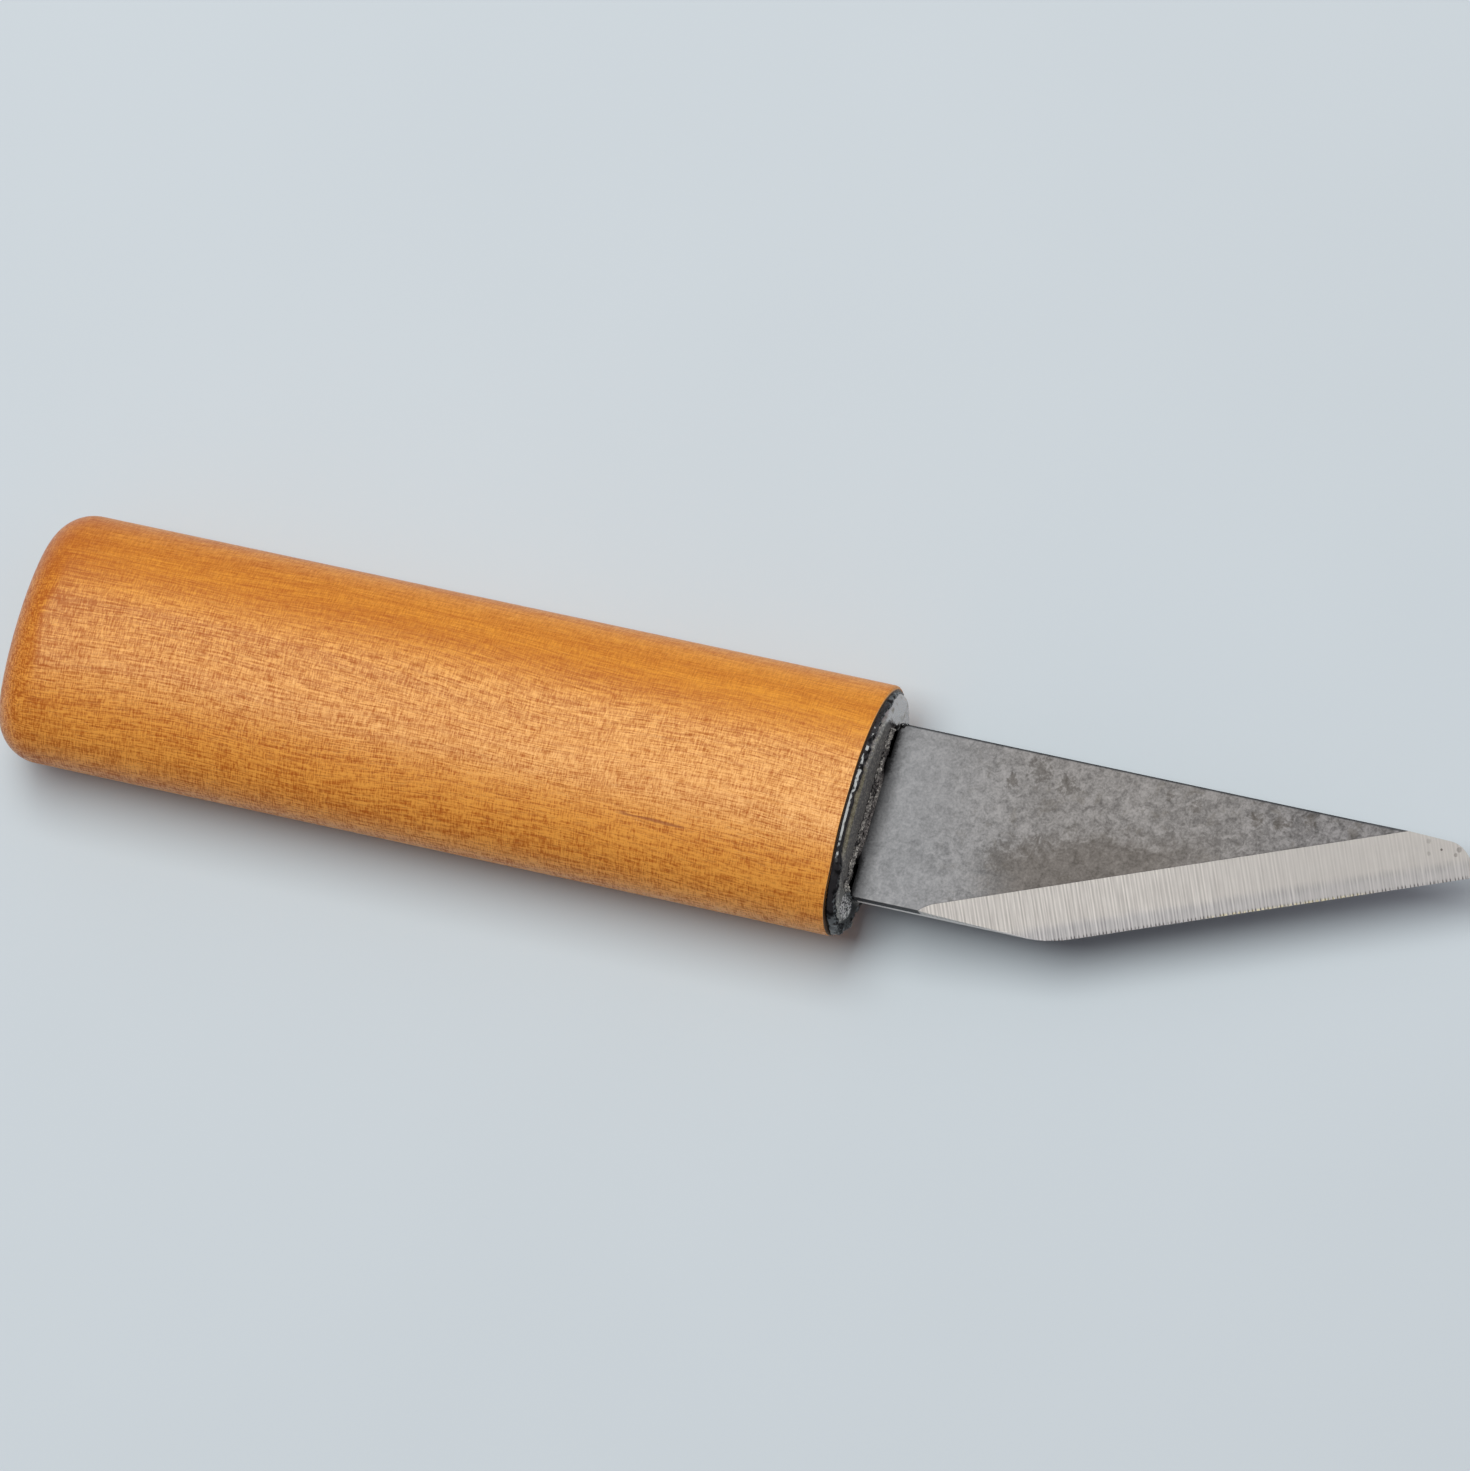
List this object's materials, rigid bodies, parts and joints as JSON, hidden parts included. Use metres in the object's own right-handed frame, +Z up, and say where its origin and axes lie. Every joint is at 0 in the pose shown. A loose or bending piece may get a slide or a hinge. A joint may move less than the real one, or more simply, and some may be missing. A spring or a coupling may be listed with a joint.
{
  "type": "marking knife",
  "caption": "Single-bevel laminated marking knife: a skewed blade with a rounded tip, bedded by its tang in an oval wooden handle behind a steel mouth plate.",
  "frame": {"origin": "under the middle of the knife's box, on the surface that it lies on", "axes": "+X along the handle to the blade's tip, +Y across the blade to its spine, +Z up, on the side of the bevel"},
  "size_m": [0.1753, 0.03, 0.016],
  "materials": {
    "handle_wood": "orange stain under satin lacquer, fine grain along the handle",
    "plate_steel": "worn bare steel, smooth, with a rounded front edge",
    "black_resin": "black, lumpy, glossy where it is smooth",
    "blade_iron": "mottled dark grey forge skin",
    "edge_steel": "bright, coarsely ground across the edge"
  },
  "bodies": {
    "root": {"handle_upper_half": "handle_wood", "handle_lower_half": "handle_wood", "mouth_plate": "plate_steel", "rim_resin": "black_resin", "root_resin": "black_resin", "tang_bedding": "black_resin", "blade_iron": "blade_iron", "blade_edge_steel": "edge_steel"}
  },
  "joints": []
}
